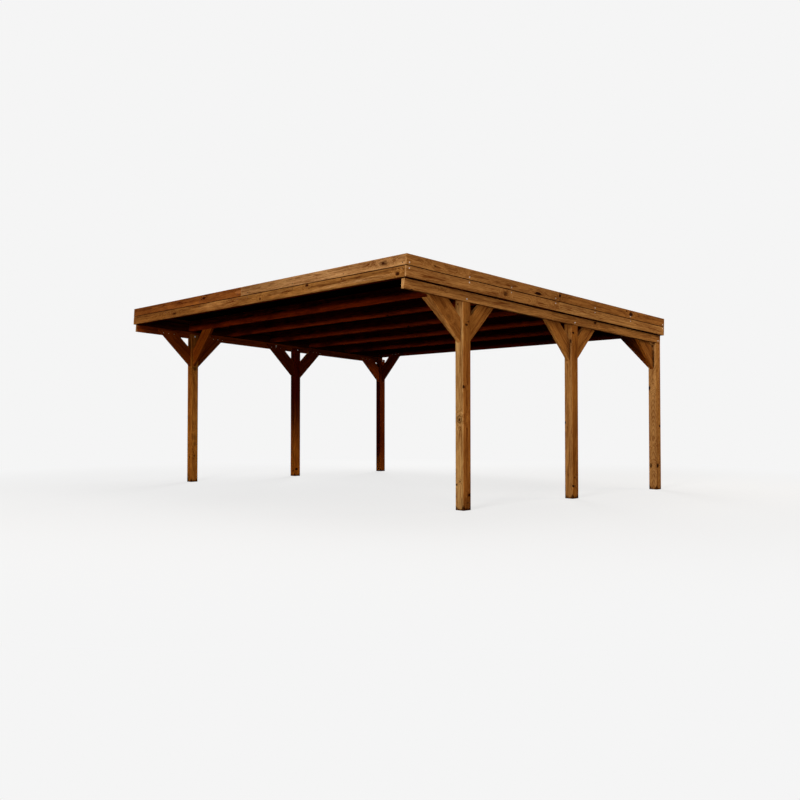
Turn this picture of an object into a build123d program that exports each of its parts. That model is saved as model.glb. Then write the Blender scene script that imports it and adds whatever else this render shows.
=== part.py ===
from build123d import *
import math
import os

# Open double carport with a flat roof that falls to the rear.
# Millimetres, +Z up, ground at z = 0, front at -Y, the origin under the middle of the roof.

# Overall sizes
ROOF_WIDTH = 6100.0
ROOF_LENGTH = 5160.0
FRONT_HEIGHT = 2712.0
ROOF_FALL = 0.0502

# Posts: the front and middle ones are placed from the front edge, the rear ones from the rear
POST = 120.0
POST_INSET = 43.0
POST_ROUND = 4.0
FRONT_POST_AT = 903.0
MIDDLE_POST_AT = 2948.0
REAR_POST_SET = 51.0
TONGUE_RISE = 60.0

# Wall plates
PLATE_THICKNESS = 45.0
PLATE_HEIGHT = 115.0
PLATE_JOINT_AHEAD = 405.0

# Rafters
RAFTER_THICKNESS = 45.0
RAFTER_HEIGHT = 170.0
SECOND_RAFTER_AHEAD = 8.0
SECOND_BAY = 730.0
MIDDLE_RAFTERS = 4

# Fascia, two boards high
FASCIA_THICKNESS = 20.0
FASCIA_BOARD = 117.5
FASCIA_SEAM = 5.0
FASCIA_LIP = 10.0
FASCIA_BEVEL = 2.0
FASCIA_FIT = 0.1
BUTT_GAP = 1.0
FRONT_UPPER_JOINT = -41.0
FRONT_LOWER_JOINT = -65.0
SIDE_JOINT_AT = 2619.0

# Knee braces at 45 degrees: laps up the member that each is fixed to, and drops of the foot
# below the underside of that member over the middle of the post
BRACE_THICKNESS = 45.0
BRACE_WIDTH = 195.0
BRACE_LAP = 70.0
REAR_ACROSS_LAP = 55.0
FRONT_FORWARD_DROP = 453.0
FRONT_BACK_DROP = 477.0
MIDDLE_FORWARD_DROP = 462.0
MIDDLE_BACK_DROP = 484.0
REAR_FORWARD_DROP = 379.0
FRONT_ACROSS_DROP = 561.0
REAR_ACROSS_DROP_LEFT = 478.0
REAR_ACROSS_DROP_RIGHT = 498.0

# Roof sheets, ribs running down the fall
SHEET_COUNT = 6
SHEET_THICKNESS = 0.8
RIB_HEIGHT = 18.0
RIB_CREST = 22.0
RIB_FLANK = 9.0
RIBS_PER_SHEET = 13
SHEET_SIDE_GAP = 8.0
SHEET_FRONT_GAP = 6.0
SHEET_REAR_GAP = 30.0

# Eased long edges of the planed timber
EDGE_EASE = 1.5
BRACE_EASE = 2.0

os.makedirs("parts", exist_ok=True)

# Derived sizes
half_width = ROOF_WIDTH / 2
fall_angle = math.atan(ROOF_FALL)
fascia_height = 2 * FASCIA_BOARD + FASCIA_SEAM
front_y = -(ROOF_LENGTH * math.cos(fall_angle) - fascia_height * math.sin(fall_angle)) / 2
post_out = half_width - POST_INSET
post_in = post_out - POST
plate_in = post_out - PLATE_THICKNESS
fascia_inside = half_width - FASCIA_THICKNESS
rafter_end = fascia_inside - FASCIA_FIT
rafter_low = -fascia_height
rafter_top = rafter_low + RAFTER_HEIGHT
plate_low = rafter_low - PLATE_HEIGHT
tongue_top = plate_low + TONGUE_RISE

# World y of the front face of each row of posts
post_rows = {
    "front": front_y + FRONT_POST_AT,
    "middle": front_y + MIDDLE_POST_AT,
    "rear": front_y + ROOF_LENGTH - REAR_POST_SET - POST,
}
sides = {"right": 1, "left": -1}

# The roof frame is laid out flat: y from the front edge along the fall, z down from the top
# of the fascia. This placement tips it to the fall and sets it at the front height.
tip = Location((0, front_y, FRONT_HEIGHT), (-math.degrees(fall_angle), 0, 0))


def roof_point(along, z):
    """World y and z of a point of the roof frame."""
    y = front_y + along * math.cos(fall_angle) + z * math.sin(fall_angle)
    up = FRONT_HEIGHT - along * math.sin(fall_angle) + z * math.cos(fall_angle)
    return y, up


def roof_along(world_y, z):
    """Distance along the fall of a world y at a level of the roof frame."""
    return (world_y - front_y - z * math.sin(fall_angle)) / math.cos(fall_angle)


def level_at(world_y, z):
    """World height of a roof frame level above a world y."""
    return roof_point(roof_along(world_y, z), z)[1]


def block(x0, x1, y0, y1, z0, z1):
    """Box between two corners."""
    size = Box(x1 - x0, y1 - y0, z1 - z0)
    return Pos((x0 + x1) / 2, (y0 + y1) / 2, (z0 + z1) / 2) * size


def timber(x0, x1, y0, y1, z0, z1, run, ease=EDGE_EASE):
    """Sawn and planed length with its four long edges eased."""
    body = block(x0, x1, y0, y1, z0, z1)
    return chamfer(body.edges().filter_by(run), ease)


def save(name, shape):
    """Write one node."""
    shape.label = name
    export_step(shape, "parts/" + name + ".step")


def mirrored(shape, side):
    """The shape as drawn for the right side, or its mirror for the left."""
    if side > 0:
        return shape
    return mirror(shape, about=Plane.YZ)


def make_post(y0):
    """Right-hand post: square, rounded, with a shouldered head.

    The outer part of the head is cut away on the fall, so that the plate beds on the
    shoulder. The inner part stands up behind the plate as a tongue for the bolt.
    """
    body = block(post_in, post_out, y0, y0 + POST, 0, FRONT_HEIGHT)
    body = fillet(body.edges().filter_by(Axis.Z), POST_ROUND)
    over = half_width + POST
    reach = 4 * ROOF_LENGTH
    above_tongue = tip * block(-over, over, -reach, reach, tongue_top, reach)
    above_plate = tip * block(plate_in, over, -reach, reach, plate_low, reach)
    return body - above_tongue - above_plate


def make_plate(start, end):
    """Right-hand plate length on edge, lying on the post shoulders."""
    return tip * timber(plate_in, post_out, start, end, plate_low, rafter_low, Axis.Y)


def make_rafter(centre):
    """Rafter on edge across both plates."""
    y0 = centre - RAFTER_THICKNESS / 2
    y1 = centre + RAFTER_THICKNESS / 2
    return tip * timber(-rafter_end, rafter_end, y0, y1, rafter_low, rafter_top, Axis.X)


def brace_outline(face, towards, foot, top_near, top_far):
    """Outline of a brace in a vertical plane.

    The foot is cut plumb against the post, the upper and lower edges rise at 45 degrees
    and the head is cut along the member it is fixed to. The heights top_near and top_far
    are those of the head line above the post face and one metre away from it.
    """
    slope = (top_far - top_near) / 1000.0
    tall = BRACE_WIDTH * math.sqrt(2)
    upper = (top_near - foot - tall) / (1 - slope)
    lower = (top_near - foot) / (1 - slope)
    points = [(face, foot), (face, foot + tall)]
    points.append((face + towards * upper, foot + tall + upper))
    points.append((face + towards * lower, foot + lower))
    return points


def make_plate_brace(face_y, towards, foot):
    """Right-hand brace in line with the plate, lapped on the inner side of the plate."""
    lap_level = plate_low + BRACE_LAP
    near = level_at(face_y, lap_level)
    far = level_at(face_y + towards * 1000.0, lap_level)
    points = brace_outline(face_y, towards, foot, near, far)
    outline = Plane.YZ * make_face(Polyline(*points, close=True))
    body = extrude(outline, BRACE_THICKNESS, dir=(1, 0, 0))
    long_edges = body.edges().filter_by(Axis((0, 0, 0), (0, towards, 1)))
    return Pos(plate_in - BRACE_THICKNESS, 0, 0) * chamfer(long_edges, BRACE_EASE)


def make_across_brace(start_y, foot, top):
    """Right-hand brace across the bay, from the inner face of a post to a rafter."""
    points = brace_outline(post_in, -1, foot, top, top)
    outline = Plane.XZ * make_face(Polyline(*points, close=True))
    body = extrude(outline, BRACE_THICKNESS, dir=(0, 1, 0))
    long_edges = body.edges().filter_by(Axis((0, 0, 0), (-1, 0, 1)))
    return Pos(0, start_y, 0) * chamfer(long_edges, BRACE_EASE)


def fascia_board(low, x0, x1, y0, y1, run, inner):
    """One fascia board between two corners, its long edges bevelled.

    A lower board has a lip along the inner part of its top edge, which stands up to the
    board above and closes the seam behind its shadow groove. The sign of inner tells the
    way to the inner face, across the thickness.
    """
    high = low + FASCIA_BOARD
    board = timber(x0, x1, y0, y1, low, high, run, FASCIA_BEVEL)
    if low == -FASCIA_BOARD:
        return board
    if run == Axis.X and inner > 0:
        y0 = y1 - FASCIA_LIP
    elif run == Axis.X:
        y1 = y0 + FASCIA_LIP
    elif inner > 0:
        x0 = x1 - FASCIA_LIP
    else:
        x1 = x0 + FASCIA_LIP
    return board + block(x0, x1, y0, y1, high - 2 * FASCIA_BEVEL, high + FASCIA_SEAM)


def sheet_profile(start, count):
    """Outline of a ribbed sheet across the fall, ribs up."""
    base = rib_pitch - RIB_CREST - 2 * RIB_FLANK
    lower = [(start, 0.0)]
    x = start + base / 2
    for _ in range(count):
        lower.append((x, 0.0))
        lower.append((x + RIB_FLANK, RIB_HEIGHT))
        lower.append((x + RIB_FLANK + RIB_CREST, RIB_HEIGHT))
        lower.append((x + 2 * RIB_FLANK + RIB_CREST, 0.0))
        x += rib_pitch
    lower.append((x - base / 2, 0.0))
    upper = [(px, pz + SHEET_THICKNESS) for px, pz in reversed(lower)]
    return lower + upper


# Posts
for row, y0 in post_rows.items():
    post = make_post(y0)
    for side, sign in sides.items():
        save("post_" + row + "_" + side, mirrored(post, sign))

# Wall plates, in two lengths that butt over the forward brace of the middle post
plate_front = FASCIA_THICKNESS
plate_joint = MIDDLE_POST_AT - PLATE_JOINT_AHEAD
rear_post_back = post_rows["rear"] + POST
plate_rear = roof_along(rear_post_back, (plate_low + rafter_low) / 2)
plate_lengths = {
    "front": make_plate(plate_front, plate_joint),
    "rear": make_plate(plate_joint, plate_rear),
}
for name, plate in plate_lengths.items():
    for side, sign in sides.items():
        save("plate_" + side + "_" + name, mirrored(plate, sign))

# Rafters: one behind each end fascia, one over the front posts, the rest evenly between
first_rafter = FASCIA_THICKNESS + FASCIA_FIT + RAFTER_THICKNESS / 2
last_rafter = ROOF_LENGTH - first_rafter
second_rafter = roof_along(post_rows["front"] + POST / 2, rafter_low) - SECOND_RAFTER_AHEAD
third_rafter = second_rafter + SECOND_BAY
rafter_step = (last_rafter - third_rafter) / MIDDLE_RAFTERS
rafter_lines = [first_rafter, second_rafter]
for index in range(MIDDLE_RAFTERS + 1):
    rafter_lines.append(third_rafter + index * rafter_step)
for number, line in enumerate(rafter_lines, start=1):
    save("rafter_" + str(number), make_rafter(line))

# Knee braces in line with the plates
brace_drops = {
    "front": {"forward": FRONT_FORWARD_DROP, "back": FRONT_BACK_DROP},
    "middle": {"forward": MIDDLE_FORWARD_DROP, "back": MIDDLE_BACK_DROP},
    "rear": {"forward": REAR_FORWARD_DROP},
}
for row, drops in brace_drops.items():
    post_middle = level_at(post_rows[row] + POST / 2, plate_low)
    for way, drop in drops.items():
        face = post_rows[row] if way == "forward" else post_rows[row] + POST
        towards = -1 if way == "forward" else 1
        brace = make_plate_brace(face, towards, post_middle - drop)
        for side, sign in sides.items():
            save("brace_" + row + "_" + side + "_" + way, mirrored(brace, sign))

# Knee braces across: the front pair stands under the second rafter, the rear pair laps
# the front face of the last rafter
front_start = roof_point(second_rafter - RAFTER_THICKNESS / 2, rafter_low)[0]
front_foot = level_at(post_rows["front"] + POST / 2, rafter_low) - FRONT_ACROSS_DROP
front_top = level_at(front_start + BRACE_THICKNESS, rafter_low)
rear_face = roof_point(last_rafter - RAFTER_THICKNESS / 2, rafter_low)[0]
rear_middle = level_at(post_rows["rear"] + POST / 2, rafter_low)
rear_top = level_at(rear_face, rafter_low + REAR_ACROSS_LAP)
rear_drops = {"left": REAR_ACROSS_DROP_LEFT, "right": REAR_ACROSS_DROP_RIGHT}
front_brace = make_across_brace(front_start, front_foot, front_top)
for side, sign in sides.items():
    rear_foot = rear_middle - rear_drops[side]
    rear_brace = make_across_brace(rear_face - BRACE_THICKNESS, rear_foot, rear_top)
    save("brace_front_" + side + "_across", mirrored(front_brace, sign))
    save("brace_rear_" + side + "_across", mirrored(rear_brace, sign))

# Fascia: two boards high, every row in two lengths
rows = {
    "lower": (-fascia_height, FRONT_LOWER_JOINT),
    "upper": (-FASCIA_BOARD, FRONT_UPPER_JOINT),
}
half_gap = BUTT_GAP / 2
side_end = ROOF_LENGTH - FASCIA_THICKNESS
for row, (low, joint) in rows.items():
    front_boards = []
    for x0, x1 in ((-fascia_inside, joint - half_gap), (joint + half_gap, fascia_inside)):
        front_boards.append(tip * fascia_board(low, x0, x1, 0, FASCIA_THICKNESS, Axis.X, 1))
    save("fascia_front_" + row, Compound(children=front_boards))
    rear_boards = []
    for x0, x1 in ((-half_width, -half_gap), (half_gap, half_width)):
        rear_boards.append(tip * fascia_board(low, x0, x1, side_end, ROOF_LENGTH, Axis.X, -1))
    save("fascia_rear_" + row, Compound(children=rear_boards))
    side_boards = []
    for y0, y1 in ((0, SIDE_JOINT_AT - half_gap), (SIDE_JOINT_AT + half_gap, side_end)):
        board = fascia_board(low, fascia_inside, half_width, y0, y1, Axis.Y, -1)
        side_boards.append(tip * board)
    for side, sign in sides.items():
        boards = [mirrored(board, sign) for board in side_boards]
        save("fascia_" + side + "_" + row, Compound(children=boards))

# Roof sheets, each lapping its neighbour by one rib
cover = 2 * (fascia_inside - SHEET_SIDE_GAP)
total_ribs = SHEET_COUNT * (RIBS_PER_SHEET - 1) + 1
rib_pitch = cover / total_ribs
sheet_start = FASCIA_THICKNESS + SHEET_FRONT_GAP
sheet_end = side_end - SHEET_REAR_GAP
for index in range(SHEET_COUNT):
    start = -cover / 2 + index * (RIBS_PER_SHEET - 1) * rib_pitch
    lift = rafter_top + FASCIA_FIT + (index % 2) * SHEET_THICKNESS
    outline = Plane.XZ * make_face(Polyline(*sheet_profile(start, RIBS_PER_SHEET), close=True))
    sheet = extrude(outline, sheet_end - sheet_start, dir=(0, 1, 0))
    sheet = tip * (Pos(0, sheet_start, lift) * sheet)
    save("roof_sheet_" + str(index + 1), sheet)
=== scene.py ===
"""Looks of an open double carport in walnut-stained softwood.

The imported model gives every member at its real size. This script dresses each member in
its own length of stained timber, with growth rings, knots, end cuts and wear laid along
the member, and adds the fixings: fascia screws, brace screws, carriage bolts with their
washers and nuts, and the roof sheet screws. Lengths are in metres, +Z is up and the front
of the carport looks along -Y.
"""

import logging
import math
import random
from dataclasses import dataclass
from enum import Enum
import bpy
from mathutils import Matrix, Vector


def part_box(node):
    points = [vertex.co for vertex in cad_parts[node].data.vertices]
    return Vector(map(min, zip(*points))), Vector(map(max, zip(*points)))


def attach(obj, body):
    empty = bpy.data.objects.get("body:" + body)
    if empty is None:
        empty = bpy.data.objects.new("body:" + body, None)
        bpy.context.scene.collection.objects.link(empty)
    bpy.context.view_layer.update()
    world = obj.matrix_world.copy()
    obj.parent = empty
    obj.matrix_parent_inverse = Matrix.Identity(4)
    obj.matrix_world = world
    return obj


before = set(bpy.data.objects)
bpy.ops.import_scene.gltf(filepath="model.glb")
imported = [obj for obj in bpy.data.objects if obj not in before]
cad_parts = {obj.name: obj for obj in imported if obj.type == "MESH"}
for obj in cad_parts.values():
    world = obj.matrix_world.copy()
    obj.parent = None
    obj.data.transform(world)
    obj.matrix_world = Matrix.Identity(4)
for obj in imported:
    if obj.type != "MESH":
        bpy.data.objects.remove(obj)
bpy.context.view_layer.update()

from types import SimpleNamespace
from typing import Callable, ClassVar, NamedTuple

import bmesh
import bpy
from mathutils import Euler, Matrix, Vector

LOG = logging.getLogger("carport")
BODY = "root"

Colour = tuple[float, float, float]
Point = tuple[float, float, float]
Rows = tuple[tuple[float, ...], ...]
Socket = bpy.types.NodeSocket
Material = bpy.types.Material

ORIGIN = (0.0, 0.0, 0.0)
ALONG_X = (1.0, 0.0, 0.0)
UPWARD = (0.0, 0.0, 1.0)
UNCHANGED = (1.0, 1.0, 1.0)
BEYOND = 50.0  # past the end of any member


# Named options


class Named(Enum):
    """Options whose names stand in the names of the nodes."""

    @property
    def word(self) -> str:
        """The option as it stands in the node names."""
        return self.name.lower()


class Side(Named):
    """The two long sides, with the sign of their x."""

    LEFT = -1
    RIGHT = 1


class Row(Named):
    """The three rows of posts, with the world y of the middle of each row."""

    FRONT = -1.6077
    MIDDLE = 0.4373
    REAR = 2.4783


class Way(Named):
    """The way that a knee brace rises, as it stands on the right side."""

    FORWARD = (0, -1, 1)
    BACK = (0, 1, 1)
    ACROSS = (-1, 0, 1)


class Face(Named):
    """The four faces of the fascia, with the direction that each looks."""

    FRONT = (0, -1, 0)
    REAR = (0, 1, 0)
    LEFT = (-1, 0, 0)
    RIGHT = (1, 0, 0)


class Course(Named):
    """The two courses of fascia boards, with the side of the course that their seam is on."""

    UPPER = -1
    LOWER = 1


# Colour and placing helpers


def linear(red: int, green: int, blue: int) -> Colour:
    """Turn a screen colour into the linear one that shaders take.

    Args:
        red: Red from 0 to 255.
        green: Green from 0 to 255.
        blue: Blue from 0 to 255.

    Returns:
        The colour as three linear values from 0 to 1.
    """

    def one(value: int) -> float:
        """Linear value of one channel."""
        share = value / 255
        return share / 12.92 if share <= 0.04045 else ((share + 0.055) / 1.055) ** 2.4

    return one(red), one(green), one(blue)


@dataclass(frozen=True)
class RoofPlane:
    """The sloping plane that the whole roof frame is laid out on.

    Places on it are given as x, the distance along the fall from the front edge, and the
    height square to the plane, which is 0 at the top of the fascia and negative below it.
    """

    length: float = 5.160
    front_height: float = 2.712
    fall: float = 0.0502
    fascia_height: float = 0.240

    @property
    def angle(self) -> float:
        """The fall as an angle in radians."""
        return math.atan(self.fall)

    @property
    def front_y(self) -> float:
        """World y of the top front edge."""
        run = self.length * math.cos(self.angle)
        return -(run - self.fascia_height * math.sin(self.angle)) / 2

    @property
    def down(self) -> Vector:
        """Direction down the fall, towards the rear."""
        return Vector((0, math.cos(self.angle), -math.sin(self.angle)))

    @property
    def up(self) -> Vector:
        """Direction square to the plane."""
        return Vector((0, math.sin(self.angle), math.cos(self.angle)))

    def at(self, x: float, along: float, height: float) -> Vector:
        """World place of a point given by x, its distance along the fall and its height."""
        corner = Vector((x, self.front_y, self.front_height))
        return corner + self.down * along + self.up * height

    def along_of(self, world_y: float, height: float) -> float:
        """Distance along the fall of a world y at a height of the plane."""
        reach = world_y - self.front_y - height * math.sin(self.angle)
        return reach / math.cos(self.angle)


PLANE = RoofPlane()


# Shader graphs


@dataclass(frozen=True)
class Wire:
    """An output socket of a node, reckoned with like a number, a vector or a colour."""

    graph: "Graph"
    socket: Socket

    def __add__(self, other: object) -> "Wire":
        """The sum with a wire, a number or a tuple."""
        return self.maths("ADD", other)

    def __sub__(self, other: object) -> "Wire":
        """The difference from a wire, a number or a tuple."""
        return self.maths("SUBTRACT", other)

    def __mul__(self, other: object) -> "Wire":
        """The product with a wire, a number or a tuple."""
        return self.maths("MULTIPLY", other)

    def __truediv__(self, other: object) -> "Wire":
        """The quotient by a wire or a number."""
        return self.maths("DIVIDE", other)

    def __abs__(self) -> "Wire":
        """The value without its sign."""
        return self.maths("ABSOLUTE")

    def maths(self, operation: str, *others: object, clamp: bool = False) -> "Wire":
        """Put the wire through a Math node, or a Vector Math node if it is a vector.

        Args:
            operation: Blender's name of the operation.
            *others: The other operands: wires, numbers or tuples.
            clamp: Whether a number is held between 0 and 1.

        Returns:
            The result.
        """
        operands = dict(enumerate((self, *others)))
        if self.socket.type != "VECTOR":
            settings = {"operation": operation, "use_clamp": clamp}
            return self.graph.wire("ShaderNodeMath", 0, operands, **settings)
        output = "Value" if operation in ("LENGTH", "DOT_PRODUCT") else "Vector"
        return self.graph.wire("ShaderNodeVectorMath", output, operands, operation=operation)

    def larger(self, other: "Wire") -> "Wire":
        """The larger of this value and another."""
        return self.maths("MAXIMUM", other)

    def clamped(self) -> "Wire":
        """The value held between 0 and 1."""
        return self.maths("ADD", 0.0, clamp=True)

    def length(self) -> "Wire":
        """The length of the vector."""
        return self.maths("LENGTH")

    def other(self, output: int | str) -> "Wire":
        """Another output of the same node."""
        return Wire(self.graph, self.socket.node.outputs[output])

    def parts(self) -> tuple["Wire", ...]:
        """The three parts of the vector."""
        first = self.graph.wire("ShaderNodeSeparateXYZ", 0, {0: self})
        return first, first.other(1), first.other(2)

    def noise(self, squeeze: Point = UNCHANGED, detail: float = 2.0, roughness: float = 0.5) -> "Wire":
        """Noise from 0 to 1 over the vector.

        Args:
            squeeze: Cells to the metre along each axis.
            detail: Number of finer layers.
            roughness: Weight of the finer layers.

        Returns:
            The noise.
        """
        inputs = {"Vector": self * squeeze, "Scale": 1.0, "Detail": detail, "Roughness": roughness}
        return self.graph.wire("ShaderNodeTexNoise", 0, inputs)

    def band(self, low: object, high: object) -> "Wire":
        """A smooth step from 0 at low to 1 at high."""
        inputs = {"Value": self, "From Min": low, "From Max": high}
        return self.graph.wire("ShaderNodeMapRange", 0, inputs, interpolation_type="SMOOTHSTEP")

    def blend(self, first: object, second: object, kind: str = "MIX") -> "Wire":
        """Blend two colours by this share, from the first at 0 to the second at 1."""
        settings = {"data_type": "RGBA", "blend_type": kind}
        return self.graph.wire("ShaderNodeMix", 2, {0: self, 6: first, 7: second}, **settings)

    def shade(self, share: "Wire", factor: Colour) -> "Wire":
        """This colour, multiplied by a factor where the share is 1."""
        return share.blend(self, factor, "MULTIPLY")

    def bump(self, strength: float, distance: float) -> "Wire":
        """The normal that this height gives."""
        inputs = {"Strength": strength, "Distance": distance, "Height": self}
        return self.graph.wire("ShaderNodeBump", 0, inputs)


# The graph of an effect group and its inputs, by name
Given = SimpleNamespace
Wires = dict[str, Wire]


class Graph:
    """Adds nodes to one node tree and joins them."""

    def __init__(self, tree: bpy.types.NodeTree) -> None:
        """Take a tree to work on."""
        self.tree = tree

    def put(self, socket: Socket, value: object) -> None:
        """Join a socket to a wire, or set its value.

        Args:
            socket: The input to fill.
            value: A wire, a number or a tuple.
        """
        if isinstance(value, Wire):
            self.tree.links.new(value.socket, socket)
        elif socket.type == "RGBA" and len(value) == 3:
            socket.default_value = (*value, 1.0)
        else:
            socket.default_value = value

    def wire(
        self, kind: str, output: int | str = 0, inputs: dict | None = None, **settings: object
    ) -> Wire:
        """Add one node and take one of its outputs.

        Args:
            kind: Blender's name of the node type.
            output: Number or name of the output.
            inputs: Wires or values by input name or number.
            **settings: Properties of the node.

        Returns:
            The output.
        """
        made = self.tree.nodes.new(kind)
        for name, value in settings.items():
            setattr(made, name, value)
        for name, value in (inputs or {}).items():
            self.put(made.inputs[name], value)
        return Wire(self, made.outputs[output])

    def vector(self, *parts: object) -> Wire:
        """A vector of up to three wires or numbers."""
        return self.wire("ShaderNodeCombineXYZ", 0, dict(enumerate(parts)))

    def effect(self, group: "EffectGroup", **inputs: object) -> Wires:
        """Place an effect group and fill its inputs.

        Args:
            group: The effect.
            **inputs: Wires or values by input name.

        Returns:
            The outputs by name.
        """
        made = self.tree.nodes.new("ShaderNodeGroup")
        made.node_tree = group.tree()
        for name, value in inputs.items():
            self.put(made.inputs[name], value)
        return {socket.name: Wire(self, socket) for socket in made.outputs}


class SurfaceGraph(Graph):
    """The graph of a new material, with its world place and its normal to start from."""

    def __init__(self, name: str) -> None:
        """Make the material and take its tree.

        Args:
            name: Name of the material.
        """
        self.material = bpy.data.materials.new(name)
        self.material.use_nodes = True
        super().__init__(self.material.node_tree)
        self.world = self.wire("ShaderNodeTexCoord", "Object")
        self.normal = self.wire("ShaderNodeNewGeometry", "Normal")

    def surface(self, colour: Wire, rough: Wire, relief: Wire | None, **constants: float) -> None:
        """Fill the shader of the material.

        Args:
            colour: Its base colour.
            rough: Its roughness.
            relief: Its normal, or None if it is smooth.
            **constants: Specular level and metallic, the same all over.
        """
        inputs = self.tree.nodes["Principled BSDF"].inputs
        self.put(inputs["Base Color"], colour)
        self.put(inputs["Roughness"], rough)
        if relief is not None:
            self.put(inputs["Normal"], relief)
        inputs["Specular IOR Level"].default_value = constants["specular"]
        inputs["Metallic"].default_value = constants.get("metallic", 0.0)


SOCKET_KINDS = {
    1: "NodeSocketFloat",
    3: "NodeSocketVector",
    4: "NodeSocketColor",
    "VALUE": "NodeSocketFloat",
    "VECTOR": "NodeSocketVector",
    "RGBA": "NodeSocketColor",
}


@dataclass(frozen=True)
class EffectGroup:
    """A shader node group with named inputs and outputs, built once."""

    name: str
    inputs: dict[str, float | tuple[float, ...]]
    draw: Callable[[Given], Wires]

    def tree(self) -> bpy.types.NodeTree:
        """Return the group, building it at the first call.

        Returns:
            The node group.
        """
        if self.name in bpy.data.node_groups:
            return bpy.data.node_groups[self.name]
        tree = bpy.data.node_groups.new(self.name, "ShaderNodeTree")
        for name, start in self.inputs.items():
            kind = SOCKET_KINDS[len(start) if isinstance(start, tuple) else 1]
            socket = tree.interface.new_socket(name=name, in_out="INPUT", socket_type=kind)
            socket.default_value = start
        graph = Graph(tree)
        sources = tree.nodes.new("NodeGroupInput").outputs
        given = {name: Wire(graph, sources[name]) for name in self.inputs}
        results = self.draw(Given(graph=graph, **given))
        for name, result in results.items():
            kind = SOCKET_KINDS[result.socket.type]
            tree.interface.new_socket(name=name, in_out="OUTPUT", socket_type=kind)
        ends = tree.nodes.new("NodeGroupOutput").inputs
        for name, result in results.items():
            graph.put(ends[name], result)
        return tree


def effect(**inputs: float | tuple[float, ...]) -> Callable[[Callable[[Given], Wires]], EffectGroup]:
    """Turn the function that draws an effect into its node group.

    Args:
        **inputs: First values of the group's inputs by name.

    Returns:
        The decorator.
    """

    def wrap(draw: Callable[[Given], Wires]) -> EffectGroup:
        """Name the group after the function."""
        return EffectGroup(draw.__name__.replace("_", " ").title(), inputs, draw)

    return wrap


# Effects on timber. The vector is a member's own space: x along the grain, y across the wide
# face and z through the thickness, with the origin in the middle of the member.


@effect(vector=ORIGIN, pith=(0.0, 0.0, -0.05), spacing=0.006, waver=0.010, taper=0.006, swirl=0.0)
def growth_rings(given: Given) -> Wires:
    """Growth rings of a log, cut by the member's faces.

    Args:
        given: The inputs by name.

    Returns:
        The rings, and the heartwood round the pith.
    """
    slow = given.vector.noise((1.1, 4.0, 4.0), 1.0) - 0.5
    quick = given.vector.noise((7.0, 26.0, 26.0), 1.0) - 0.5
    radius = ((given.vector - given.pith) * (0.0, 1.0, 1.0)).length()
    lean = given.vector.parts()[0] * given.taper
    total = radius + lean + slow * given.waver * 2.0 + quick * 0.0016 + given.swirl
    count = total / given.spacing
    uneven = given.graph.vector(count * 0.35).noise()
    part = (count + uneven * 1.6).maths("FRACT")
    rings = (part.band(0.25, 0.88) - part.band(0.93, 1.0)).clamped()
    return {"rings": rings, "heartwood": radius.band(0.075, 0.035)}


@effect(vector=ORIGIN, swirl=0.0)
def fibre_streaks(given: Given) -> Wires:
    """Streaks of the fibres, from wide bands to fine lines, drawn out along a wavy grain.

    Args:
        given: The inputs by name.

    Returns:
        Four scales of noise.
    """
    wave = given.vector.noise((2.3, 7.0, 7.0), 1.0) - 0.5
    ripple = given.vector.noise((8.0, 19.0, 19.0), 1.0) - 0.5
    shift = wave * 0.050 + ripple * 0.020 + given.swirl * 1.6
    wavy = given.vector + given.graph.vector(0.0, shift, shift)
    return {
        "broad": wavy.noise((4.2, 70.0, 70.0), 3.0, 0.65),
        "fine": wavy.noise((12.0, 125.0, 125.0), 4.0, 0.7),
        "cloud": given.vector.noise((1.7, 6.0, 6.0)),
        "band": wavy.noise((1.0, 21.0, 21.0)),
    }


@effect(
    vector=ORIGIN, centre=ORIGIN, radius=0.015, stretch=1.4, dark=1.0, bend=1.0, rim=0.0, ragged=1.1
)
def knot(given: Given) -> Wires:
    """One knot at a named place, longer along the grain, with the grain bent round it.

    Args:
        given: The inputs by name.

    Returns:
        The knot, its heart and the swirl of the grain.
    """
    along, across, depth = (given.vector - given.centre).parts()
    reach = given.graph.vector(along / given.stretch, across, depth * 0.45).length()
    rough = given.vector.noise((20.0, 85.0, 85.0)) - 0.5
    share = reach / given.radius + rough * given.ragged
    rim = share.band(1.45, 1.15) * share.band(0.75, 1.05) * given.rim
    fade = share.band(4.5, 0.8)
    return {
        "knot": (share.band(1.25, 0.70) * given.dark).larger(rim),
        "heart": share.band(0.70, 0.20) * given.dark,
        "swirl": fade * fade * given.radius * given.bend,
    }


@effect(vector=ORIGIN, share=0.2, radius=0.012)
def stray_knots(given: Given) -> Wires:
    """Small knots strewn through the timber by chance.

    Args:
        given: The inputs by name.

    Returns:
        The knots, their hearts and the swirl of the grain.
    """
    squeezed = given.vector * (2.6, 7.5, 7.5)
    cells = {"Vector": squeezed, "Scale": 1.0, "Randomness": 0.85}
    centre = given.graph.wire("ShaderNodeTexVoronoi", "Position", cells)
    pick, size, _ = centre.other("Color").parts()
    chosen = pick.maths("LESS_THAN", given.share)
    radius = given.radius * (size * 0.9 + 0.45)
    rough = given.vector.noise((70.0, 110.0, 110.0), 1.0) - 0.5
    share = ((squeezed - centre) * (0.28, 0.133, 0.06)).length() / radius + rough * 0.6
    fade = share.band(4.0, 0.8) * chosen
    return {
        "knot": share.band(1.2, 0.8) * chosen,
        "heart": share.band(0.7, 0.25) * chosen,
        "swirl": fade * fade * radius,
    }


@effect(vector=ORIGIN, joint=BEYOND, seed=0.0)
def board_cut(given: Given) -> Wires:
    """Shift the grain by the seed, and again in the second board of a butted pair.

    Args:
        given: The inputs by name.

    Returns:
        The shifted grain, and the share that is the second board.
    """
    second = given.vector.parts()[0].maths("GREATER_THAN", given.joint)
    return {"grain": given.vector + given.graph.vector(second * 9.7 + given.seed), "second": second}


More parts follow.
